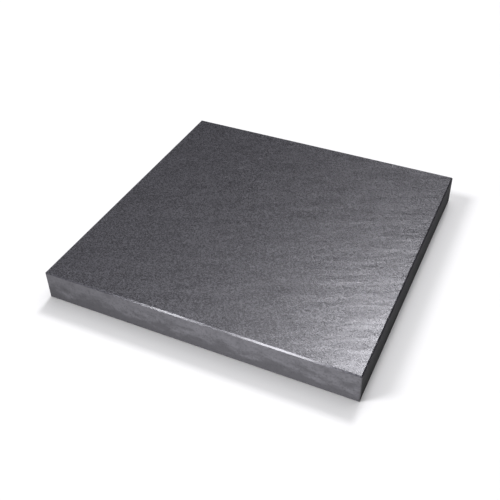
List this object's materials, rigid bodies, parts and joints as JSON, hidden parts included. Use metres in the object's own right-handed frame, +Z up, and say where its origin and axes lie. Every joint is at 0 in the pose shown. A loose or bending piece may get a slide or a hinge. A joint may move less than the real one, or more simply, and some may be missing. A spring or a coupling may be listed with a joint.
{
  "type": "granite slab",
  "caption": "Square slab of dark fine-grained stone with a polished top and eased edges, laid on a bench as a hard flat base for stamping, punching and tooling leather.",
  "frame": {"origin": "middle of the underside, on the surface that the slab lies on", "axes": "+X along the front edge to the right, +Y from the front edge to the back, +Z up, from the underside to the polished face"},
  "size_m": [0.3, 0.3, 0.03],
  "materials": {
    "granite": "satin"
  },
  "bodies": {
    "root": {"granite_slab": "granite"}
  },
  "joints": []
}
